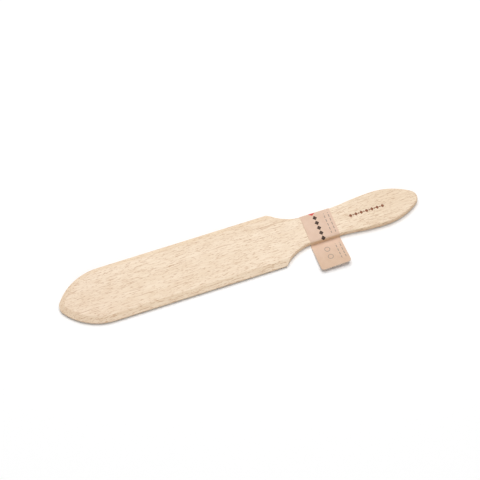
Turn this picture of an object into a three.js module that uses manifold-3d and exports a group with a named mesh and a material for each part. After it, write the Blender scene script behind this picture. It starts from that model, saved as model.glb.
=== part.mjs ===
import * as THREE from 'three';
import { mergeVertices } from 'three/addons/utils/BufferGeometryUtils.js';
import Module from 'manifold-3d';

// Wooden crepe spatula with a card label folded round its neck.
// Millimetres. +X runs from the tip to the end of the grip, +Z is up, and the origin is
// on the board's underside, on its long axis, halfway between the tip and the grip's end.

// Board: lengths along the axis, one after the other from the tip's nose
const bladeLength = 212;
const shoulderLength = 28;
const neckLength = 18.5;
const gripSwellLength = 53;
const gripEndLength = 38.5;

// Board: widths, thickness and radii
const bladeWidth = 57;
const neckWidth = 29;
const gripWidth = 36.2;
const boardThickness = 5.6;
const tipLength = 44.5;
const tipNoseRadius = 10;
const shoulderCornerRadius = 2.5;
const gripEndRadius = 8.3;
const edgeRound = 1.6;

// Bevel round the blade, alike on both faces
const bevelWidth = 6;
const bevelEdge = 1;

// Card label: one strip round the neck, its two ends glued face to face as a flag
const cardThickness = 0.4;
const cardWidth = 29;
const cardSideGap = 0.3;
const cardFaceGap = 0.1;
const cardFromShoulder = 25.5;
const flagLength = 28.2;
const flagCornerRadius = 3;
const flagPitch = THREE.MathUtils.degToRad(7);
const foldGap = 0.1;

// Adhesive patch between the two plies of the flag
const adhesiveThickness = 0.1;
const adhesiveGap = 0.05;
const adhesiveMargin = 2;

// Mesh fineness, the least step and turn between points of an outline, and how far the
// bevelled blank stands proud of the board that it cuts
const arcSteps = 6;
const roundSteps = 3;
const leastStep = 0.001;
const blankMargin = 0.5;

// Stations along the axis
const shoulderX = bladeLength;
const neckStartX = shoulderX + shoulderLength;
const neckEndX = neckStartX + neckLength;
const gripWidestX = neckEndX + gripSwellLength;
const boardLength = gripWidestX + gripEndLength;

// Arcs that follow from the widths and lengths
const bladeHalf = bladeWidth / 2;
const neckHalf = neckWidth / 2;
const gripHalf = gripWidth / 2;
const shoulderDepth = bladeHalf - neckHalf;
const shoulderRadius = (shoulderLength ** 2 + shoulderDepth ** 2) / (2 * shoulderDepth);
const shoulderCentre = neckHalf + shoulderRadius;
const swellRise = gripHalf - neckHalf;
const swellRadius = (gripSwellLength ** 2 + swellRise ** 2) / (4 * swellRise);
const swellAngle = Math.asin(gripSwellLength / (2 * swellRadius));

// Radius of the flank arc of a pointed end: tangent to the straight side where the end
// begins, and to the nose circle on the axis.
function flankRadius(endLength, halfWidth, noseRadius) {
  const reach = endLength ** 2 - 2 * endLength * noseRadius + halfWidth ** 2;
  return reach / (2 * (halfWidth - noseRadius));
}

const tipFlank = flankRadius(tipLength, bladeHalf, tipNoseRadius);
const tipCentre = tipFlank - bladeHalf;
const tipAngle = Math.PI - Math.atan2(tipCentre, tipLength - tipNoseRadius);
const endFlank = flankRadius(gripEndLength, gripHalf, gripEndRadius);
const endCentre = endFlank - gripHalf;
const endAngle = Math.atan2(endCentre, gripEndLength - gripEndRadius);
const quarter = Math.PI / 2;

// Half-width of the board at a station on the neck or the curves that lead into it.
function neckHalfAt(x) {
  if (x < neckStartX) {
    return shoulderCentre - Math.sqrt(shoulderRadius ** 2 - (neckStartX - x) ** 2);
  }
  if (x > neckEndX) {
    return neckHalf + swellRadius - Math.sqrt(swellRadius ** 2 - (x - neckEndX) ** 2);
  }
  return neckHalf;
}

// The pointed tip, from the far side round the nose to the near side, widened by a margin.
function addTip(outline, margin) {
  outline.absarc(tipLength, -tipCentre, tipFlank + margin, quarter, tipAngle, false);
  outline.absarc(tipNoseRadius, 0, tipNoseRadius + margin, tipAngle, -tipAngle, false);
  outline.absarc(tipLength, tipCentre, tipFlank + margin, -tipAngle, -quarter, false);
}

// Outline of the whole board: straight blade, hollow shoulders with softened corners,
// straight neck, and a grip that swells in an S and ends in a blunt point.
function boardOutline() {
  const cornerY = bladeHalf - shoulderCornerRadius;
  const cornerRise = shoulderCentre - cornerY;
  const cornerRun = Math.sqrt((shoulderRadius + shoulderCornerRadius) ** 2 - cornerRise ** 2);
  const cornerX = neckStartX - cornerRun;
  const cornerAngle = Math.atan2(cornerRise, cornerRun);
  const swellCentre = neckHalf + swellRadius;
  const crownCentre = gripHalf - swellRadius;
  const endNoseX = boardLength - gripEndRadius;

  const outline = new THREE.Shape();
  outline.moveTo(tipLength, -bladeHalf);
  outline.lineTo(cornerX, -bladeHalf);
  outline.absarc(cornerX, -cornerY, shoulderCornerRadius, -quarter, -cornerAngle, false);
  outline.absarc(neckStartX, -shoulderCentre, shoulderRadius, Math.PI - cornerAngle, quarter, true);
  outline.absarc(neckEndX, -swellCentre, swellRadius, quarter, quarter - swellAngle, true);
  outline.absarc(gripWidestX, -crownCentre, swellRadius, -quarter - swellAngle, -quarter, false);
  outline.absarc(gripWidestX, endCentre, endFlank, -quarter, -endAngle, false);
  outline.absarc(endNoseX, 0, gripEndRadius, -endAngle, endAngle, false);
  outline.absarc(gripWidestX, -endCentre, endFlank, endAngle, quarter, false);
  outline.absarc(gripWidestX, crownCentre, swellRadius, quarter, quarter + swellAngle, false);
  outline.absarc(neckEndX, swellCentre, swellRadius, swellAngle - quarter, -quarter, true);
  outline.absarc(neckStartX, shoulderCentre, shoulderRadius, -quarter, cornerAngle - Math.PI, true);
  outline.absarc(cornerX, cornerY, shoulderCornerRadius, cornerAngle, quarter, false);
  addTip(outline, 0);
  return outline;
}

// Outline of the blank that carries the bevels: the blade, a little wider, run on past the
// end of the grip so that its own end stays clear of the board.
function blankOutline() {
  const half = bladeHalf + blankMargin;
  const farX = boardLength + bladeWidth;
  const outline = new THREE.Shape();
  outline.moveTo(tipLength, -half);
  outline.lineTo(farX, -half);
  outline.lineTo(farX, half);
  addTip(outline, blankMargin);
  return outline;
}

// Distance of a point from the line through two others.
function offLine(point, before, after) {
  const run = after.clone().sub(before);
  return Math.abs(run.cross(point.clone().sub(before))) / run.length();
}

// An outline as points, without the doubles where one arc ends and the next begins, and
// without the points that lie on a straight line between their neighbours.
function turningPoints(outline) {
  const points = outline.getPoints(arcSteps);
  const distinct = points.filter((point, i) => point.distanceTo(points.at(i - 1)) > leastStep);
  return distinct.filter((point, i) => {
    const after = distinct[(i + 1) % distinct.length];
    return offLine(point, distinct.at(i - 1), after) > leastStep;
  });
}

// Plate whose edges are drawn in by edgeInset over edgeHeight at both faces, in one
// straight bevel or in several steps of a round, and whose outline is kept in between.
function plate(outline, thickness, edgeInset, edgeHeight, edgeSteps) {
  const shape = new THREE.Shape(turningPoints(outline));
  const geometry = new THREE.ExtrudeGeometry(shape, {
    depth: thickness - 2 * edgeHeight,
    bevelThickness: edgeHeight,
    bevelSize: edgeInset,
    bevelOffset: -edgeInset,
    bevelSegments: edgeSteps,
  });
  return geometry.translate(0, 0, edgeHeight);
}

const wasm = await Module();
wasm.setup();

function solidOf(geometry) {
  const bare = geometry.clone();
  bare.deleteAttribute('normal');
  bare.deleteAttribute('uv');
  const merged = mergeVertices(bare);
  const mesh = new wasm.Mesh({
    numProp: 3,
    vertProperties: new Float32Array(merged.attributes.position.array),
    triVerts: new Uint32Array(merged.index.array),
  });
  return new wasm.Manifold(mesh);
}

function geometryOf(solid) {
  const mesh = solid.getMesh();
  const geometry = new THREE.BufferGeometry();
  geometry.setAttribute('position', new THREE.BufferAttribute(mesh.vertProperties, 3));
  geometry.setIndex(new THREE.BufferAttribute(mesh.triVerts, 1));
  return geometry.toNonIndexed();
}

// Board: a round-edged plank of the whole outline, cut by a blank that has the bevels. The
// blank is thicker and wider than the plank and its bevels run on at the same slope.
function boardGeometry() {
  const bevelSlope = (boardThickness - bevelEdge) / 2 / bevelWidth;
  const blankThickness = boardThickness + 2 * blankMargin;
  const blankRim = bevelEdge - 2 * blankMargin * bevelSlope;
  const blankHeight = (blankThickness - blankRim) / 2;
  const plank = plate(boardOutline(), boardThickness, edgeRound, edgeRound, roundSteps);
  const blank = plate(blankOutline(), blankThickness, blankHeight / bevelSlope, blankHeight, 1);
  blank.translate(0, 0, -blankMargin);
  return geometryOf(solidOf(plank).intersect(solidOf(blank)));
}

// Card band: its inner half-width clears the widest place of the neck under it
const bandStartX = shoulderX + cardFromShoulder;
const bandEndX = bandStartX + cardWidth;
const bandInnerHalf = Math.max(neckHalfAt(bandStartX), neckHalfAt(bandEndX)) + cardSideGap;
const bandOuterHalf = bandInnerHalf + cardThickness;
const bandTop = boardThickness + cardFaceGap + cardThickness;
const bandBottom = -cardFaceGap - cardThickness;

// Flag: two plies with the adhesive between them, hinged on a crease beside the band
const plySpacing = adhesiveThickness + 2 * adhesiveGap;
const flagThickness = 2 * cardThickness + plySpacing;
const creaseY = -bandOuterHalf - flagThickness / 2 - foldGap;
const creaseZ = bandBottom + flagThickness / 2;

// Section of the band across the neck: up the front wall, over, down the back wall and
// along the underside, open at the front lower corner where the strip's ends leave.
function bandSection() {
  const inner = edgeRound;
  const outer = edgeRound + cardThickness;
  const arcY = bandInnerHalf - inner;
  const upperZ = bandTop - outer;
  const lowerZ = bandBottom + outer;
  const wallEndZ = bandBottom + flagThickness + cardSideGap;

  const section = new THREE.Shape();
  section.moveTo(-bandOuterHalf, wallEndZ);
  section.lineTo(-bandInnerHalf, wallEndZ);
  section.absarc(-arcY, upperZ, inner, Math.PI, quarter, true);
  section.absarc(arcY, upperZ, inner, quarter, 0, true);
  section.absarc(arcY, lowerZ, inner, 0, -quarter, true);
  section.lineTo(-bandOuterHalf, bandBottom + cardThickness);
  section.lineTo(-bandOuterHalf, bandBottom);
  section.absarc(arcY, lowerZ, outer, -quarter, 0, false);
  section.absarc(arcY, upperZ, outer, 0, quarter, false);
  section.absarc(-arcY, upperZ, outer, quarter, Math.PI, false);
  return section;
}

// Tab from the crease outwards, its two free corners rounded, drawn in by a margin.
function tabGeometry(margin, thickness) {
  const half = cardWidth / 2 - margin;
  const end = -flagLength + margin;
  const corner = Math.max(flagCornerRadius - margin, cardThickness);
  const tab = new THREE.Shape();
  tab.moveTo(half, -margin);
  tab.lineTo(-half, -margin);
  tab.absarc(corner - half, end + corner, corner, Math.PI, 1.5 * Math.PI, false);
  tab.absarc(half - corner, end + corner, corner, 1.5 * Math.PI, 2 * Math.PI, false);
  return new THREE.ExtrudeGeometry(tab, { depth: thickness, curveSegments: arcSteps, bevelEnabled: false });
}

const beech = new THREE.MeshStandardMaterial({ color: 0xf0dac1, roughness: 0.62, metalness: 0 });
const kraftCard = new THREE.MeshStandardMaterial({ color: 0xe6c6ae, roughness: 0.85, metalness: 0 });
const adhesive = new THREE.MeshStandardMaterial({ color: 0xe9e2cf, roughness: 0.4, metalness: 0 });

function part(name, geometry, material) {
  const mesh = new THREE.Mesh(geometry, material);
  mesh.name = name;
  return mesh;
}

const spatula = new THREE.Group();
spatula.position.x = -boardLength / 2;
spatula.add(part('beech_board', boardGeometry(), beech));

// The section lies in the XY plane; turned, it runs across the neck and its depth along X.
const bandRun = { depth: cardWidth, curveSegments: arcSteps, bevelEnabled: false };
const band = part('label_band', new THREE.ExtrudeGeometry(bandSection(), bandRun), kraftCard);
band.rotation.set(Math.PI / 2, Math.PI / 2, 0);
band.position.x = bandStartX;
spatula.add(band);

// The flag lifts from its crease by a few degrees, away from what the board lies on.
const flag = new THREE.Group();
flag.position.set(bandStartX + cardWidth / 2, creaseY, creaseZ);
flag.rotation.x = -flagPitch;
spatula.add(flag);

const frontPly = part('label_front_ply', tabGeometry(0, cardThickness), kraftCard);
frontPly.position.z = plySpacing / 2;
flag.add(frontPly);

const adhesivePatch = part('label_adhesive', tabGeometry(adhesiveMargin, adhesiveThickness), adhesive);
adhesivePatch.position.z = -adhesiveThickness / 2;
flag.add(adhesivePatch);

const backPly = part('label_back_ply', tabGeometry(0, cardThickness), kraftCard);
backPly.position.z = -plySpacing / 2 - cardThickness;
flag.add(backPly);

export default spatula;
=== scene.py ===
import math

import bpy
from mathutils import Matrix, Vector


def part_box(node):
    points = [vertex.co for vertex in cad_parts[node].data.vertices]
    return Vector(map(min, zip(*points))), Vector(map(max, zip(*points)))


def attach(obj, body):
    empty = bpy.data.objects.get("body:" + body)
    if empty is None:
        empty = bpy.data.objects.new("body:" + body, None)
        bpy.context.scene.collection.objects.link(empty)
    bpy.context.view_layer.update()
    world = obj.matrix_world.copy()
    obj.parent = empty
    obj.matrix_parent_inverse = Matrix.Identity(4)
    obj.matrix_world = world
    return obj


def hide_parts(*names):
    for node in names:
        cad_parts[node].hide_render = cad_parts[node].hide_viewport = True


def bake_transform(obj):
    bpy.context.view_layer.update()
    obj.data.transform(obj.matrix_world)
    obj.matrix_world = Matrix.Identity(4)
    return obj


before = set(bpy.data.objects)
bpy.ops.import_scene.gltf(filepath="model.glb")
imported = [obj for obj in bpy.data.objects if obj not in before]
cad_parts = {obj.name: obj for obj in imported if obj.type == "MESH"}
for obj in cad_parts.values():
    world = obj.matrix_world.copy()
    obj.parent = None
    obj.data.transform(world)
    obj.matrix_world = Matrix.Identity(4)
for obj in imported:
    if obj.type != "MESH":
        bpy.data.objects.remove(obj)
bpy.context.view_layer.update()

# Lengths in this script are millimetres until they reach a mesh, a light or the camera.
MM = 0.001
QUARTER = math.pi / 2


def millimetres(node):
    low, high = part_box(node)
    return low / MM, high / MM


board_low, board_high = millimetres("beech_board")
band_low, band_high = millimetres("label_band")
ply_low, _ = millimetres("label_front_ply")
glue_low, glue_high = millimetres("label_adhesive")

# Camera: where it stands round the board, and where the board's middle lies in the frame
VIEW_AZIMUTH = math.radians(-19.85)
VIEW_ELEVATION = math.radians(60)
VIEW_DISTANCE = 1500
PIXELS = 480
PIXELS_PER_MM = 1.083
MIDDLE_PIXEL = (241.6, 252.75)
SENSOR = 36

# Board outline: lengths from the tip's nose, half widths and radii
BOARD_LENGTH = board_high.x - board_low.x
BLADE_LENGTH = 209.3
SHOULDER_LENGTH = 31.7
NECK_LENGTH = 17.5
GRIP_SWELL_LENGTH = 53
TIP_LENGTH = 44.5
BLADE_HALF = board_high.y
NECK_HALF = 14.5
GRIP_HALF = 18.1
TIP_NOSE_RADIUS = 10
SHOULDER_CORNER_RADIUS = 3
GRIP_END_RADIUS = 8.3

# Board section: long edges rounded, and the blade bevelled on both faces, deeper on the upper one.
# Sanding has eased the bevels' rims and arrises.
THICKNESS = board_high.z - board_low.z
EDGE_ROUND = 1.6
BEVEL_WIDTH = 5.3
BEVEL_EDGE = 1
UPPER_BEVEL_DROP = 3.1
ARRIS_EASE = 0.3
RIM_EASE = 0.15
BLANK_MARGIN = 0.3
BOARD_SHARP_ANGLE = math.radians(32)

# Segments of the board's arcs
NOSE_STEPS = 12
FLANK_STEPS = 28
CORNER_STEPS = 8
SHOULDER_STEPS = 24
SWELL_STEPS = 16
GRIP_SIDE_STEPS = 24
GRIP_END_STEPS = 12
EDGE_ROUND_STEPS = 8

# Burnt ornament on the grip: a row of lozenges, large and small by turns, as half length and width
MARK_START = 108
MARK_LENGTH = 32
MARK_COUNT = 13
MARK_LARGE = (1.8, 1.9)
MARK_SMALL = (0.8, 0.95)
MARK_DEPTH = 0.12

# Card label
CARD_THICKNESS = 0.4
CARD_HALF_WIDTH = (band_high.x - band_low.x) / 2
CARD_MIDDLE_X = (band_high.x + band_low.x) / 2
CARD_CORNER_RADIUS = 1.9
CARD_FRONT_BEND = 3.1
CARD_TIGHTER = 0.3
CARD_SHARP_ANGLE = math.radians(40)
BAND_BOW = 0.12
CREASE_RADIUS = 0.4
CREASE_FROM_WALL = 0.6
CREASE_Y = band_low.y - CREASE_FROM_WALL
FLAG_LENGTH = 28.6
FLAG_PITCH = math.radians(7)
FLAG_CORNER_RADIUS = 3
FLAG_TWIST = 0.8
FLAG_CURL = 0.4
PLY_HALF_SPACING = ply_low.z + CARD_THICKNESS / 2
GLUE_HALF_THICKNESS = 0.05

# Segments of the card and the glue
FLAG_STEPS = 16
CREASE_STEPS = 6
FRONT_BEND_STEPS = 12
BACK_BEND_STEPS = 8
BAND_STEPS = 12
CORNER_COLUMNS = 7
HALF_COLUMNS = 8
GLUE_STEPS = 10

# Places of the strip's materials
OUTER_SIDE, INNER_SIDE, CUT_EDGE = range(3)

# Print on the card: places across it from its middle, and along it from the upper crease, with the
# flag below nothing. A run is a middle and a reach to either side.
PRINT_UNIT = 100
PRINT_MIDDLE = -1.6
DASH_COLUMNS = (7.6, 11.6)
DASH_HALF_WIDTH = 0.4
DASH_LENGTH = 3
DASH_PITCH = 4.4
DASH_RUNS = ((19, 11), (-14.3, 8.8))
RING_PLACES = (-9, -17.8)
RING_RADIUS = 2.4
RING_HALF_LINE = 0.3
LOZENGE_HALF_LENGTH = 2.5
LOZENGE_PITCH = 5.6
DARK_HALF_WIDTH = 2.2
DARK_ENDS = (5.8, 28.2)
RED_HALF_WIDTH = 3.4
RED_MIDDLE = -3
RED_PLACE = 33.8

# Light: strengths are radiances, and the lean and rise are slopes of the lights' directions
SKY_STRENGTH = 0.25
KEY_STRENGTH = 4.01
KEY_SIZE = 3800
KEY_DISTANCE = 4000
KEY_LEAN = 0.29
FILL_STRENGTH = 1.5
FILL_SIZE = 1600
FILL_DISTANCE = 3000
FILL_RISE = 0.33

# Floor, just under the card's lowest face
FLOOR_HALF_SIZE = 6000
FLOOR_GAP = 0.01
FLOOR_BOUNCE = (0.9, 0.9, 0.9, 1)
FLOOR_LIFT = 0.03
WHITE = (1, 1, 1, 1)


# Meshes


def new_object(name, points, faces, material, smooth=True):
    mesh = bpy.data.meshes.new(name)
    mesh.from_pydata([Vector(p) * MM for p in points], [], faces)
    mesh.materials.append(material)
    mesh.polygons.foreach_set("use_smooth", [smooth] * len(mesh.polygons))
    mesh.update()
    piece = bpy.data.objects.new(name, mesh)
    bpy.context.scene.collection.objects.link(piece)
    return piece


def loft(rings):
    """Points and faces of a solid through rings of equal count, capped at both ends."""
    count = len(rings[0])
    points = [p for ring in rings for p in ring]
    faces = []
    for level in range(len(rings) - 1):
        for i in range(count):
            j = (i + 1) % count
            low, high = level * count, (level + 1) * count
            faces.append((low + i, low + j, high + j, high + i))
    faces.append(tuple(reversed(range(count))))
    last = (len(rings) - 1) * count
    faces.append(tuple(range(last, last + count)))
    return points, faces


def sheet_faces(rows, columns):
    """Faces of a closed sheet whose outer points come row by row before its inner ones."""
    inner = rows * columns
    faces, sides = [], []
    for i in range(rows - 1):
        for j in range(columns - 1):
            a, b = i * columns + j, (i + 1) * columns + j
            faces.append((a, a + 1, b + 1, b))
            sides.append(OUTER_SIDE)
            faces.append((inner + a, inner + b, inner + b + 1, inner + a + 1))
            sides.append(INNER_SIDE)
        for j, flip in ((0, False), (columns - 1, True)):
            a, b = i * columns + j, (i + 1) * columns + j
            side = (a, b, inner + b, inner + a)
            faces.append(tuple(reversed(side)) if flip else side)
            sides.append(CUT_EDGE)
    for i, flip in ((0, True), (rows - 1, False)):
        for j in range(columns - 1):
            a = i * columns + j
            end = (a, a + 1, inner + a + 1, inner + a)
            faces.append(tuple(reversed(end)) if flip else end)
            sides.append(CUT_EDGE)
    return faces, sides


def arc(centre, radius, start, end, steps):
    """Points along an arc, its last point left to whatever follows."""
    turns = [start + (end - start) * i / steps for i in range(steps)]
    return [(centre[0] + radius * math.cos(t), centre[1] + radius * math.sin(t)) for t in turns]


def flank_radius(length, half, nose):
    """Radius of an arc from a side's full half width to a round nose, tangent to both."""
    return (length ** 2 - 2 * length * nose + half ** 2) / (2 * (half - nose))


def tip_half(inset):
    """The far half of the pointed tip, from the nose to where the straight side begins."""
    flank = flank_radius(TIP_LENGTH, BLADE_HALF, TIP_NOSE_RADIUS)
    drop = flank - BLADE_HALF
    turn = math.pi - math.atan2(drop, TIP_LENGTH - TIP_NOSE_RADIUS)
    nose = arc((TIP_NOSE_RADIUS, 0), TIP_NOSE_RADIUS - inset, math.pi, turn, NOSE_STEPS)
    side = arc((TIP_LENGTH, -drop), flank - inset, turn, QUARTER, FLANK_STEPS)
    return nose + side + [(TIP_LENGTH, BLADE_HALF - inset)]


def handle_half(inset):
    """The far half of shoulder, neck and grip, from the blade's side to the grip's end."""
    depth = BLADE_HALF - NECK_HALF
    shoulder = (SHOULDER_LENGTH ** 2 + depth ** 2) / (2 * depth)
    shoulder_y = NECK_HALF + shoulder
    neck_start = BLADE_LENGTH + SHOULDER_LENGTH
    neck_end = neck_start + NECK_LENGTH
    widest = neck_end + GRIP_SWELL_LENGTH
    rise = GRIP_HALF - NECK_HALF
    swell = (GRIP_SWELL_LENGTH ** 2 + rise ** 2) / (4 * rise)
    swell_turn = math.asin(GRIP_SWELL_LENGTH / (2 * swell))
    corner_y = BLADE_HALF - SHOULDER_CORNER_RADIUS
    corner_rise = shoulder_y - corner_y
    corner_run = math.sqrt((shoulder + SHOULDER_CORNER_RADIUS) ** 2 - corner_rise ** 2)
    corner_turn = math.atan2(corner_rise, corner_run)
    end_length = BOARD_LENGTH - widest
    end = flank_radius(end_length, GRIP_HALF, GRIP_END_RADIUS)
    end_turn = math.atan2(end - GRIP_HALF, end_length - GRIP_END_RADIUS)

    corner = (neck_start - corner_run, corner_y)
    hollow = (neck_start, shoulder_y)
    waist = (neck_end, NECK_HALF + swell)
    crown = (widest, GRIP_HALF - swell)
    side = (widest, GRIP_HALF - end)
    nose = (BOARD_LENGTH - GRIP_END_RADIUS, 0)
    points = arc(corner, SHOULDER_CORNER_RADIUS - inset, QUARTER, corner_turn, CORNER_STEPS)
    points += arc(hollow, shoulder + inset, corner_turn - math.pi, -QUARTER, SHOULDER_STEPS)
    points += arc(waist, swell + inset, -QUARTER, swell_turn - QUARTER, SWELL_STEPS)
    points += arc(crown, swell - inset, QUARTER + swell_turn, QUARTER, SWELL_STEPS)
    points += arc(side, end - inset, QUARTER, end_turn, GRIP_SIDE_STEPS)
    points += arc(nose, GRIP_END_RADIUS - inset, end_turn, 0, GRIP_END_STEPS)
    return points + [(BOARD_LENGTH - inset, 0)]


def ring(half_outline, z):
    """A closed ring at height z: the far half, then its mirror image back to the nose."""
    mirrored = [(x, -y) for x, y in reversed(half_outline[1:-1])]
    start = board_low.x
    return [(x + start, y, z) for x, y in reversed(half_outline + mirrored)]


def plank_rings():
    """The board without its bevels, its long edges rounded."""
    turns = [QUARTER * i / EDGE_ROUND_STEPS for i in range(EDGE_ROUND_STEPS + 1)]
    edge = [(EDGE_ROUND * (1 - math.sin(t)), EDGE_ROUND * (1 - math.cos(t))) for t in turns]
    levels = edge + [(inset, THICKNESS - z) for inset, z in reversed(edge)]
    return [ring(tip_half(inset) + handle_half(inset), board_low.z + z) for inset, z in levels]


def bevel_profile(drop):
    """Insets and heights up one bevel, from the middle of the blade's edge."""
    slope = drop / BEVEL_WIDTH
    half_edge = BEVEL_EDGE / 2
    rim_inset = RIM_EASE / 2
    return [
        (-BLANK_MARGIN, half_edge - RIM_EASE - BLANK_MARGIN),
        (0, half_edge - RIM_EASE),
        (rim_inset, half_edge + rim_inset * slope),
        (BEVEL_WIDTH - ARRIS_EASE, half_edge + drop - ARRIS_EASE * slope),
        (BEVEL_WIDTH + 3 * ARRIS_EASE, half_edge + drop + ARRIS_EASE * slope),
    ]


def blank_rings():
    """The blade run on past the grip, with the bevels of both faces on its sides."""
    lower = bevel_profile(THICKNESS - BEVEL_EDGE - UPPER_BEVEL_DROP)
    levels = [(inset, -height) for inset, height in reversed(lower)]
    levels += bevel_profile(UPPER_BEVEL_DROP)
    far = BOARD_LENGTH + BLADE_HALF
    edge = board_high.z - UPPER_BEVEL_DROP - BEVEL_EDGE / 2
    return [
        ring(tip_half(inset) + [(far, BLADE_HALF - inset), (far, 0)], edge + height)
        for inset, height in levels
    ]


def mark_lozenges():
    """Closed lozenges of the ornament, sunk a little into the grip."""
    points, faces = [], []
    pitch = MARK_LENGTH / (MARK_COUNT - 1)
    levels = (board_high.z - MARK_DEPTH, board_high.z + MARK_DEPTH)
    for i in range(MARK_COUNT):
        middle = MARK_START + pitch * i
        half_length, half_width = MARK_SMALL if i % 2 else MARK_LARGE
        corners = [
            (middle - half_length, 0),
            (middle, -half_width),
            (middle + half_length, 0),
            (middle, half_width),
        ]
        part_points, part_faces = loft([[(x, y, z) for x, y in corners] for z in levels])
        first = len(points)
        points += part_points
        faces += [tuple(first + k for k in face) for face in part_faces]
    return points, faces


def cut(piece, tool, operation):
    modifier = piece.modifiers.new("cut", "BOOLEAN")
    modifier.object = tool
    modifier.operation = operation
    modifier.solver = "EXACT"
    modifier.material_mode = "TRANSFER"
    bpy.context.view_layer.objects.active = piece
    with bpy.context.temp_override(object=piece, active_object=piece):
        bpy.ops.object.modifier_apply(modifier="cut")
    bpy.data.objects.remove(tool)


# Shader nodes


class Nodes:
    """A material's node tree, with short calls for the nodes used here."""

    def __init__(self, name, flat=False):
        self.material = bpy.data.materials.new(name)
        self.material.use_nodes = True
        self.tree = self.material.node_tree
        self.shader = self.tree.nodes["Principled BSDF"]
        coordinates = self.tree.nodes.new("ShaderNodeTexCoord")
        self.place = coordinates.outputs["UV" if flat else "Object"]
        self.unit = 1 / PRINT_UNIT if flat else MM

    def link(self, value, socket):
        if isinstance(value, bpy.types.NodeSocket):
            self.tree.links.new(value, socket)
        else:
            socket.default_value = value

    def math(self, operation, *values):
        node = self.tree.nodes.new("ShaderNodeMath")
        node.operation = operation
        for value, socket in zip(values, node.inputs):
            self.link(value, socket)
        return node.outputs[0]

    def remap(self, value, low, high, to_low=0.0, to_high=1.0):
        node = self.tree.nodes.new("ShaderNodeMapRange")
        node.interpolation_type = "SMOOTHSTEP"
        for value_in, name in zip(
            (value, low, high, to_low, to_high),
            ("Value", "From Min", "From Max", "To Min", "To Max"),
        ):
            self.link(value_in, node.inputs[name])
        return node.outputs["Result"]

    def mix(self, share, first, second, blend="MIX"):
        node = self.tree.nodes.new("ShaderNodeMix")
        node.data_type = "RGBA"
        node.blend_type = blend
        self.link(share, node.inputs["Factor"])
        self.link(first, node.inputs[6])
        self.link(second, node.inputs[7])
        return node.outputs[2]

    def tint(self, share, colour, tone):
        return self.mix(share, colour, tone, "MULTIPLY")

    def slope(self, level, steep):
        """Nothing on level faces, one on those whose normal leans past the second value."""
        coordinates = self.tree.nodes.new("ShaderNodeTexCoord")
        split = self.tree.nodes.new("ShaderNodeSeparateXYZ")
        self.tree.links.new(coordinates.outputs["Normal"], split.inputs["Vector"])
        upright = self.math("ABSOLUTE", split.outputs["Z"])
        return self.remap(upright, steep, level, 1, 0)

    def space(self, cell):
        """Place in or on the piece, divided by a cell's size in millimetres on each axis."""
        node = self.tree.nodes.new("ShaderNodeMapping")
        node.inputs["Scale"].default_value = [1 / (self.unit * size) for size in cell]
        self.tree.links.new(self.place, node.inputs["Vector"])
        return node.outputs["Vector"]

    def wander(self, cell, reach):
        """From here on, places stray by a slow noise, up to about reach on each axis."""
        stray = self.tree.nodes.new("ShaderNodeTexNoise")
        stray.inputs["Scale"].default_value = 1
        self.tree.links.new(self.space(cell), stray.inputs["Vector"])
        centred = self.tree.nodes.new("ShaderNodeVectorMath")
        centred.operation = "SUBTRACT"
        centred.inputs[1].default_value = (0.5, 0.5, 0.5)
        self.tree.links.new(stray.outputs["Color"], centred.inputs[0])
        strayed = self.tree.nodes.new("ShaderNodeVectorMath")
        strayed.operation = "MULTIPLY_ADD"
        strayed.inputs[1].default_value = [2 * self.unit * size for size in reach]
        self.tree.links.new(centred.outputs["Vector"], strayed.inputs[0])
        self.tree.links.new(self.place, strayed.inputs[2])
        self.place = strayed.outputs["Vector"]

    def lengthways(self):
        """Place along the piece's X axis in millimetres."""
        split = self.tree.nodes.new("ShaderNodeSeparateXYZ")
        self.tree.links.new(self.space((1, 1, 1)), split.inputs["Vector"])
        return split.outputs["X"]

    def noise(self, cell, detail=2.0, roughness=0.5):
        node = self.tree.nodes.new("ShaderNodeTexNoise")
        self.tree.links.new(self.space(cell), node.inputs["Vector"])
        node.inputs["Scale"].default_value = 1
        node.inputs["Detail"].default_value = detail
        node.inputs["Roughness"].default_value = roughness
        return node.outputs["Fac"]

    def spots(self, cell, core, edge):
        """One spot to a cell: one out to the core's share of it, and nothing past the edge's."""
        node = self.tree.nodes.new("ShaderNodeTexVoronoi")
        self.tree.links.new(self.space(cell), node.inputs["Vector"])
        node.inputs["Scale"].default_value = 1
        return self.remap(node.outputs["Distance"], core, edge, 1, 0)

    def bump(self, height, depth):
        node = self.tree.nodes.new("ShaderNodeBump")
        node.inputs["Strength"].default_value = 1
        node.inputs["Distance"].default_value = depth * MM
        self.tree.links.new(height, node.inputs["Height"])
        self.tree.links.new(node.outputs["Normal"], self.shader.inputs["Normal"])


def linear(red, green, blue):
    """A screen colour of 0 to 255 as the linear colour that a shader takes."""
    def channel(value):
        value /= 255
        return value / 12.92 if value <= 0.04045 else ((value + 0.055) / 1.055) ** 2.4
    return channel(red), channel(green), channel(blue), 1


# Materials


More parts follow.
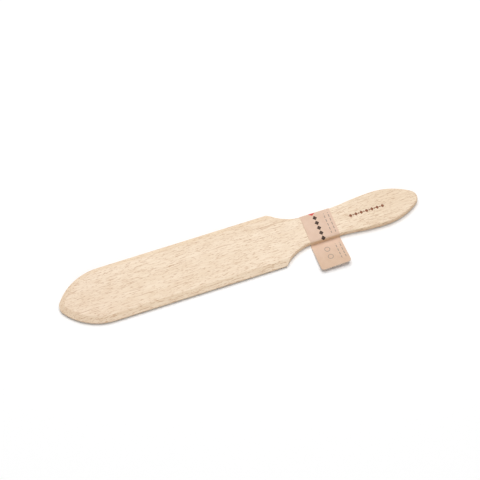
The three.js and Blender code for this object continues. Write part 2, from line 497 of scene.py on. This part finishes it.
def beech_material():
    """Sanded beech: broad bands, wavering fibres, and short dark rays and pores along the board.
    Painted shade tints its bevels and walls darker and warmer.
    """
    deep, pale = linear(242, 221, 195), linear(249, 230, 206)
    fibre_tone = linear(228, 200, 170)
    fleck_tone = linear(184, 139, 98)
    dash_tone = linear(184, 139, 100)
    line_tone = linear(188, 146, 110)
    tip_tone, grip_tone = (0.98, 0.97, 0.975, 1), (0.945, 0.93, 0.905, 1)
    # Painted shade: darker, warmer tints for the sloping bevels and the steep walls
    bevel_painted_shade, wall_painted_shade = (1, 0.98, 0.95, 1), (1, 0.93, 0.86, 1)

    nodes = Nodes("beech")
    place = nodes.lengthways()
    bands = nodes.noise((140, 8, 12), 3)
    nodes.wander((26, 12, 12), (0, 1.7, 1))
    fibres = nodes.noise((12, 1, 1.4), 0)
    flecks = nodes.spots((9, 0.9, 1.5), 0.08, 0.3)
    pores = nodes.spots((4.5, 0.7, 1), 0.08, 0.3)
    dashes = nodes.spots((30, 1, 1.8), 0.06, 0.24)
    lines = nodes.remap(nodes.noise((70, 1.2, 2.4), 1), 0.68, 0.76)

    colour = nodes.mix(nodes.remap(bands, 0.3, 0.7), deep, pale)
    colour = nodes.mix(nodes.remap(fibres, 0.3, 0.7, 0, 0.4), colour, fibre_tone)
    for marks, weight, tone in (
        (flecks, 0.8, fleck_tone),
        (pores, 0.8, fleck_tone),
        (dashes, 0.8, dash_tone),
        (lines, 0.7, line_tone),
    ):
        colour = nodes.mix(nodes.math("MULTIPLY", marks, weight), colour, tone)
    colour = nodes.tint(nodes.remap(place, -150, -90, 1, 0), colour, tip_tone)
    colour = nodes.tint(nodes.remap(place, 85, 145), colour, grip_tone)
    # Painted shade: faces that slope away from level are tinted darker and warmer, bevels a little
    # and walls more
    colour = nodes.tint(nodes.slope(0.985, 0.93), colour, bevel_painted_shade)
    colour = nodes.tint(nodes.slope(0.8, 0.4), colour, wall_painted_shade)
    nodes.link(colour, nodes.shader.inputs["Base Color"])
    nodes.link(nodes.remap(fibres, 0.2, 0.8, 0.52, 0.68), nodes.shader.inputs["Roughness"])
    nodes.shader.inputs["Specular IOR Level"].default_value = 0.35
    relief = nodes.math("SUBTRACT", fibres, nodes.math("MULTIPLY", flecks, 0.6))
    nodes.bump(relief, depth=0.05)
    return nodes.material


def burnt_material():
    charred, scorched = linear(112, 62, 40), linear(158, 102, 72)
    nodes = Nodes("burnt_beech")
    char = nodes.noise((1.6, 0.7, 0.7), 3)
    colour = nodes.mix(nodes.remap(char, 0.3, 0.7), charred, scorched)
    nodes.link(colour, nodes.shader.inputs["Base Color"])
    nodes.shader.inputs["Roughness"].default_value = 0.8
    nodes.bump(char, depth=0.05)
    return nodes.material


def card_base(nodes):
    """Kraft card: clouded pulp with short fibres, and painted shade on its steep faces. Sets its
    relief and gives its colour.
    """
    deep, pale = linear(229, 198, 176), linear(235, 206, 185)
    pulp_tone = linear(216, 182, 158)
    hair_tone = linear(198, 160, 132)
    # Painted shade: a warmer, darker tint for the card's steep walls and bends
    wall_painted_shade = (1, 0.98, 0.84, 1)

    cloud = nodes.noise((7, 7, 7), 3)
    pulp = nodes.noise((0.5, 0.5, 0.5), 2, 0.7)
    hairs = nodes.spots((2.6, 0.7, 0.7), 0.05, 0.16)
    colour = nodes.mix(nodes.remap(cloud, 0.3, 0.7), deep, pale)
    colour = nodes.mix(nodes.remap(pulp, 0.35, 0.75, 0, 0.4), colour, pulp_tone)
    colour = nodes.mix(nodes.math("MULTIPLY", hairs, 0.35), colour, hair_tone)
    # Painted shade on the steep faces of the strip
    colour = nodes.tint(nodes.slope(0.9, 0.5), colour, wall_painted_shade)
    nodes.shader.inputs["Roughness"].default_value = 0.86
    nodes.shader.inputs["Specular IOR Level"].default_value = 0.25
    nodes.bump(pulp, depth=0.03)
    return colour


def plain_card_material():
    nodes = Nodes("kraft_card", flat=True)
    nodes.link(card_base(nodes), nodes.shader.inputs["Base Color"])
    return nodes.material


def printed_card_material():
    """The card's outer side, with a plain geometric print set out along the strip."""
    flag_tone = (0.92, 0.9, 0.84, 1)
    grey_ink = linear(163, 146, 134)
    dark_ink = linear(48, 33, 27)
    red_ink = linear(214, 66, 62)

    nodes = Nodes("printed_kraft_card", flat=True)
    split = nodes.tree.nodes.new("ShaderNodeSeparateXYZ")
    nodes.tree.links.new(nodes.place, split.inputs["Vector"])
    across = nodes.math("MULTIPLY", split.outputs["X"], PRINT_UNIT)
    along = nodes.math("MULTIPLY", split.outputs["Y"], PRINT_UNIT)

    def near(value, middle, reach):
        offset = nodes.math("ABSOLUTE", nodes.math("SUBTRACT", value, middle))
        return nodes.math("LESS_THAN", offset, reach)

    def both(*masks):
        result = masks[0]
        for mask in masks[1:]:
            result = nodes.math("MULTIPLY", result, mask)
        return result

    def either(*masks):
        result = masks[0]
        for mask in masks[1:]:
            result = nodes.math("MAXIMUM", result, mask)
        return result

    def lozenges(middle, half_width, first, last):
        start = nodes.math("SUBTRACT", along, first)
        cell = nodes.math("PINGPONG", start, LOZENGE_PITCH / 2)
        high = nodes.math("DIVIDE", cell, LOZENGE_HALF_LENGTH)
        offset = nodes.math("ABSOLUTE", nodes.math("SUBTRACT", across, middle))
        wide = nodes.math("DIVIDE", offset, half_width)
        shape = nodes.math("LESS_THAN", nodes.math("ADD", high, wide), 1)
        reach = (last - first) / 2 + LOZENGE_HALF_LENGTH
        return both(shape, near(along, (first + last) / 2, reach))

    def ring_mark(middle, place):
        x = nodes.math("SUBTRACT", across, middle)
        y = nodes.math("SUBTRACT", along, place)
        squares = nodes.math("ADD", nodes.math("MULTIPLY", x, x), nodes.math("MULTIPLY", y, y))
        return near(nodes.math("SQRT", squares), RING_RADIUS, RING_HALF_LINE)

    bars = both(
        either(*(near(across, column, DASH_HALF_WIDTH) for column in DASH_COLUMNS)),
        nodes.math("LESS_THAN", nodes.math("PINGPONG", along, DASH_PITCH / 2), DASH_LENGTH / 2),
        either(*(near(along, middle, reach) for middle, reach in DASH_RUNS)),
    )
    rings = either(*(ring_mark(PRINT_MIDDLE, place) for place in RING_PLACES))
    dark = lozenges(PRINT_MIDDLE, DARK_HALF_WIDTH, *DARK_ENDS)
    red = lozenges(RED_MIDDLE, RED_HALF_WIDTH, RED_PLACE, RED_PLACE)

    ink = nodes.remap(nodes.noise((0.8, 0.8, 0.8), 2), 0.25, 0.6, 0.72, 1)
    colour = card_base(nodes)
    colour = nodes.tint(nodes.remap(along, -26, 2, 1, 0), colour, flag_tone)
    colour = nodes.mix(both(either(bars, rings), ink), colour, grey_ink)
    colour = nodes.mix(both(dark, ink), colour, dark_ink)
    colour = nodes.mix(both(red, ink), colour, red_ink)
    nodes.link(colour, nodes.shader.inputs["Base Color"])
    return nodes.material


def cut_card_material():
    """The card's cut edge, where the pale pulp of its core shows."""
    pale, deep = linear(248, 232, 214), linear(232, 206, 182)
    nodes = Nodes("kraft_card_cut", flat=True)
    pulp = nodes.noise((0.6, 0.25, 0.25), 2, 0.7)
    colour = nodes.mix(nodes.remap(pulp, 0.3, 0.7), pale, deep)
    nodes.link(colour, nodes.shader.inputs["Base Color"])
    nodes.shader.inputs["Roughness"].default_value = 0.9
    nodes.bump(pulp, depth=0.03)
    return nodes.material


def glue_material():
    deep, pale = linear(222, 205, 176), linear(238, 228, 205)
    nodes = Nodes("clear_glue")
    streak = nodes.noise((3, 3, 3), 2)
    nodes.link(nodes.mix(streak, deep, pale), nodes.shader.inputs["Base Color"])
    nodes.link(nodes.remap(streak, 0.3, 0.7, 0.25, 0.5), nodes.shader.inputs["Roughness"])
    nodes.bump(streak, depth=0.03)
    return nodes.material


# Board


def make_board():
    board = new_object("beech_board_finish", *loft(plank_rings()), beech_material())
    blank = new_object("bevel_blank", *loft(blank_rings()), board.data.materials[0])
    cut(board, blank, "INTERSECT")
    lozenges = new_object("mark_cutter", *mark_lozenges(), burnt_material())
    cut(board, lozenges, "DIFFERENCE")
    board.data.polygons.foreach_set("use_smooth", [True] * len(board.data.polygons))
    board.data.set_sharp_from_angle(angle=BOARD_SHARP_ANGLE)
    normals = board.modifiers.new("even_faces", "WEIGHTED_NORMAL")
    normals.keep_sharp = True
    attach(board, "board")
    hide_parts("beech_board")


# Card label: one strip from the flag's upper ply round the neck to its lower ply


def card_columns():
    """Places across the card, closer together where the flag's free corners turn."""
    straight = CARD_HALF_WIDTH - FLAG_CORNER_RADIUS
    turns = [QUARTER * i / CORNER_COLUMNS for i in range(1, CORNER_COLUMNS + 1)]
    turned = [straight + FLAG_CORNER_RADIUS * math.sin(t) for t in turns]
    middle = [straight * i / HALF_COLUMNS for i in range(-HALF_COLUMNS, HALF_COLUMNS + 1)]
    return [-x for x in reversed(turned)] + middle + turned


def flag_reach(across):
    """How far the flag runs out from its crease at a place across the card."""
    past = abs(across) - (CARD_HALF_WIDTH - FLAG_CORNER_RADIUS)
    if past <= 0:
        return FLAG_LENGTH
    short = FLAG_CORNER_RADIUS - math.sqrt(max(FLAG_CORNER_RADIUS ** 2 - past ** 2, 0))
    return FLAG_LENGTH - short


def flag_point(share, across, offset):
    """Y and Z on the flag: share of its reach, place across, height over its middle."""
    run = share * flag_reach(across)
    curl = (FLAG_CURL + FLAG_TWIST * across / CARD_HALF_WIDTH) * (run / FLAG_LENGTH) ** 2
    y = CREASE_Y - run * math.cos(FLAG_PITCH) + offset * math.sin(FLAG_PITCH)
    z = run * math.sin(FLAG_PITCH) + offset * math.cos(FLAG_PITCH) + curl
    return y, z


def band_path():
    """The card's middle line round the neck, from the upper crease to the lower one."""
    half = CARD_THICKNESS / 2
    wall = band_high.y - CARD_TIGHTER - half
    top = band_high.z - half
    bottom = band_low.z + half
    corner = CARD_CORNER_RADIUS
    reach = wall - corner
    crease_top = PLY_HALF_SPACING + CREASE_RADIUS
    path = arc((-wall - CREASE_RADIUS, crease_top), CREASE_RADIUS, -QUARTER, 0, CREASE_STEPS)
    path += [(-wall, crease_top)]
    bend = arc((0, 0), 1, math.pi, QUARTER, FRONT_BEND_STEPS)
    path += [(-wall + CARD_FRONT_BEND * (1 + y), top - corner * (1 - z)) for y, z in bend]
    start = -wall + CARD_FRONT_BEND
    for i in range(BAND_STEPS):
        share = i / BAND_STEPS
        bow = 4 * BAND_BOW * share * (1 - share)
        path.append((start + (reach - start) * share, top + bow))
    path += arc((reach, top - corner), corner, QUARTER, 0, BACK_BEND_STEPS)
    path += arc((reach, bottom + corner), corner, 0, -QUARTER, BACK_BEND_STEPS)
    path += [(reach - 2 * reach * i / BAND_STEPS, bottom) for i in range(BAND_STEPS)]
    path += [(-reach, bottom), (-wall - CREASE_RADIUS, bottom)]
    return path


def strip_rows(columns):
    """Rows of the strip's middle surface, each a list of (x, y, z) across the card."""
    rows = []
    for i in range(FLAG_STEPS, 0, -1):
        rows.append([(x, *flag_point(i / FLAG_STEPS, x, PLY_HALF_SPACING)) for x in columns])
    for y, z in band_path():
        rows.append([(x, y, z) for x in columns])
    for i in range(1, FLAG_STEPS + 1):
        rows.append([(x, *flag_point(i / FLAG_STEPS, x, -PLY_HALF_SPACING)) for x in columns])
    return rows


def strip_lengths(rows, column):
    """Distance along the strip from its upper crease at one column, row by row."""
    lengths = [0.0]
    for before, after in zip(rows, rows[1:]):
        lengths.append(lengths[-1] + (Vector(after[column]) - Vector(before[column])).length)
    crease = lengths[FLAG_STEPS]
    return [length - crease for length in lengths]


def make_strip():
    columns = card_columns()
    rows = strip_rows(columns)
    count = len(columns)
    half = CARD_THICKNESS / 2
    outer, inner = [], []
    for i, row in enumerate(rows):
        before = rows[max(i - 1, 0)]
        after = rows[min(i + 1, len(rows) - 1)]
        for j, point in enumerate(row):
            run = Vector(after[j]) - Vector(before[j])
            normal = Vector((0, -run.z, run.y)).normalized()
            place = Vector(point) + Vector((CARD_MIDDLE_X, 0, 0))
            outer.append(place + normal * half)
            inner.append(place - normal * half)
    faces, sides = sheet_faces(len(rows), count)

    strip = new_object("label_strip", outer + inner, faces, printed_card_material())
    strip.data.materials.append(plain_card_material())
    strip.data.materials.append(cut_card_material())
    strip.data.polygons.foreach_set("material_index", sides)
    lengths = [strip_lengths(rows, j) for j in range(count)]
    layer = strip.data.uv_layers.new(name="UVMap")
    for loop in strip.data.loops:
        i, j = divmod(loop.vertex_index % len(outer), count)
        layer.data[loop.index].uv = (columns[j] / PRINT_UNIT, lengths[j][i] / PRINT_UNIT)
    strip.data.set_sharp_from_angle(angle=CARD_SHARP_ANGLE)
    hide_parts("label_band", "label_front_ply", "label_back_ply")
    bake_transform(strip)


def make_glue():
    """The glue patch between the two plies, bent as they are."""
    half_width = (glue_high.x - glue_low.x) / 2
    near_share = (CREASE_Y - glue_high.y) / FLAG_LENGTH
    far_share = (CREASE_Y - glue_low.y) / FLAG_LENGTH
    parts = [i / GLUE_STEPS for i in range(GLUE_STEPS + 1)]
    places = [half_width * (2 * part - 1) for part in parts]
    shares = [far_share + (near_share - far_share) * part for part in parts]
    points = [
        (x + CARD_MIDDLE_X, *flag_point(share, x, level))
        for level in (GLUE_HALF_THICKNESS, -GLUE_HALF_THICKNESS)
        for share in shares
        for x in places
    ]
    faces, _ = sheet_faces(len(shares), len(places))
    glue = new_object("label_glue", points, faces, glue_material(), smooth=False)
    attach(glue, "flag")
    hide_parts("label_adhesive")


# Stage: a white floor that keeps the shadow, soft light from above and behind, the camera


def camera_axes():
    back = Vector((
        math.sin(VIEW_AZIMUTH) * math.cos(VIEW_ELEVATION),
        -math.cos(VIEW_AZIMUTH) * math.cos(VIEW_ELEVATION),
        math.sin(VIEW_ELEVATION),
    ))
    right = Vector((math.cos(VIEW_AZIMUTH), math.sin(VIEW_AZIMUTH), 0))
    return right, back.cross(right), back


def make_camera():
    right, up, back = camera_axes()
    shift_right = (PIXELS / 2 - MIDDLE_PIXEL[0]) / PIXELS_PER_MM
    shift_up = (MIDDLE_PIXEL[1] - PIXELS / 2) / PIXELS_PER_MM
    aim = right * shift_right + up * shift_up
    data = bpy.data.cameras.new("camera")
    data.sensor_width = SENSOR
    data.lens = SENSOR * VIEW_DISTANCE * PIXELS_PER_MM / PIXELS
    camera = bpy.data.objects.new("camera", data)
    camera.location = (aim + back * VIEW_DISTANCE) * MM
    camera.rotation_mode = "QUATERNION"
    camera.rotation_quaternion = back.to_track_quat("Z", "Y")
    bpy.context.scene.collection.objects.link(camera)
    bpy.context.scene.camera = camera


def seen_directly(tree):
    """One for rays from the camera, or through gloss and glass, and nothing for the rest."""
    path = tree.nodes.new("ShaderNodeLightPath")
    total = path.outputs["Is Camera Ray"]
    for name in ("Is Glossy Ray", "Is Transmission Ray"):
        add = tree.nodes.new("ShaderNodeMath")
        add.operation = "MAXIMUM"
        tree.links.new(total, add.inputs[0])
        tree.links.new(path.outputs[name], add.inputs[1])
        total = add.outputs[0]
    return total


def make_world():
    world = bpy.data.worlds.new("studio")
    bpy.context.scene.world = world
    world.use_nodes = True
    tree = world.node_tree
    background = tree.nodes["Background"]
    background.inputs["Color"].default_value = WHITE
    strength = tree.nodes.new("ShaderNodeMapRange")
    strength.inputs["To Min"].default_value = SKY_STRENGTH
    strength.inputs["To Max"].default_value = 1
    tree.links.new(seen_directly(tree), strength.inputs["Value"])
    tree.links.new(strength.outputs["Result"], background.inputs["Strength"])


def make_floor():
    half = FLOOR_HALF_SIZE
    z = band_low.z - FLOOR_GAP
    corners = [(-half, -half, z), (half, -half, z), (half, half, z), (-half, half, z)]
    nodes = Nodes("white_floor")
    tree = nodes.tree
    lit = tree.nodes.new("ShaderNodeBsdfDiffuse")
    lit.inputs["Color"].default_value = FLOOR_BOUNCE
    seen = tree.nodes.new("ShaderNodeBsdfDiffuse")
    seen.inputs["Color"].default_value = WHITE
    glow = tree.nodes.new("ShaderNodeEmission")
    glow.inputs["Strength"].default_value = FLOOR_LIFT
    both = tree.nodes.new("ShaderNodeAddShader")
    tree.links.new(seen.outputs["BSDF"], both.inputs[0])
    tree.links.new(glow.outputs["Emission"], both.inputs[1])
    choose = tree.nodes.new("ShaderNodeMixShader")
    tree.links.new(seen_directly(tree), choose.inputs["Fac"])
    tree.links.new(lit.outputs["BSDF"], choose.inputs[1])
    tree.links.new(both.outputs["Shader"], choose.inputs[2])
    output = tree.nodes["Material Output"]
    tree.links.new(choose.outputs["Shader"], output.inputs["Surface"])
    floor = new_object("floor", corners, [(0, 1, 2, 3)], nodes.material)


def make_light(name, towards, strength, size, distance):
    """A round soft light that shines on the board from a direction at an even radiance."""
    towards = towards.normalized()
    data = bpy.data.lights.new(name, "AREA")
    data.shape = "DISK"
    data.size = size * MM
    data.energy = strength * math.pi * math.pi * (size * MM / 2) ** 2
    light = bpy.data.objects.new(name, data)
    light.location = towards * distance * MM
    light.rotation_mode = "QUATERNION"
    light.rotation_quaternion = towards.to_track_quat("Z", "Y")
    bpy.context.scene.collection.objects.link(light)


def make_lights():
    """A broad key from above and behind the board, and a weak fill from the camera's side."""
    back = camera_axes()[2]
    near = Vector((back.x, back.y, 0)).normalized()
    up = Vector((0, 0, 1))
    make_light("key", up - near * KEY_LEAN, KEY_STRENGTH, KEY_SIZE, KEY_DISTANCE)
    make_light("fill", near + up * FILL_RISE, FILL_STRENGTH, FILL_SIZE, FILL_DISTANCE)


make_camera()
make_board()
make_strip()
make_glue()
make_world()
make_floor()
make_lights()
bpy.context.scene.view_settings.view_transform = "Standard"
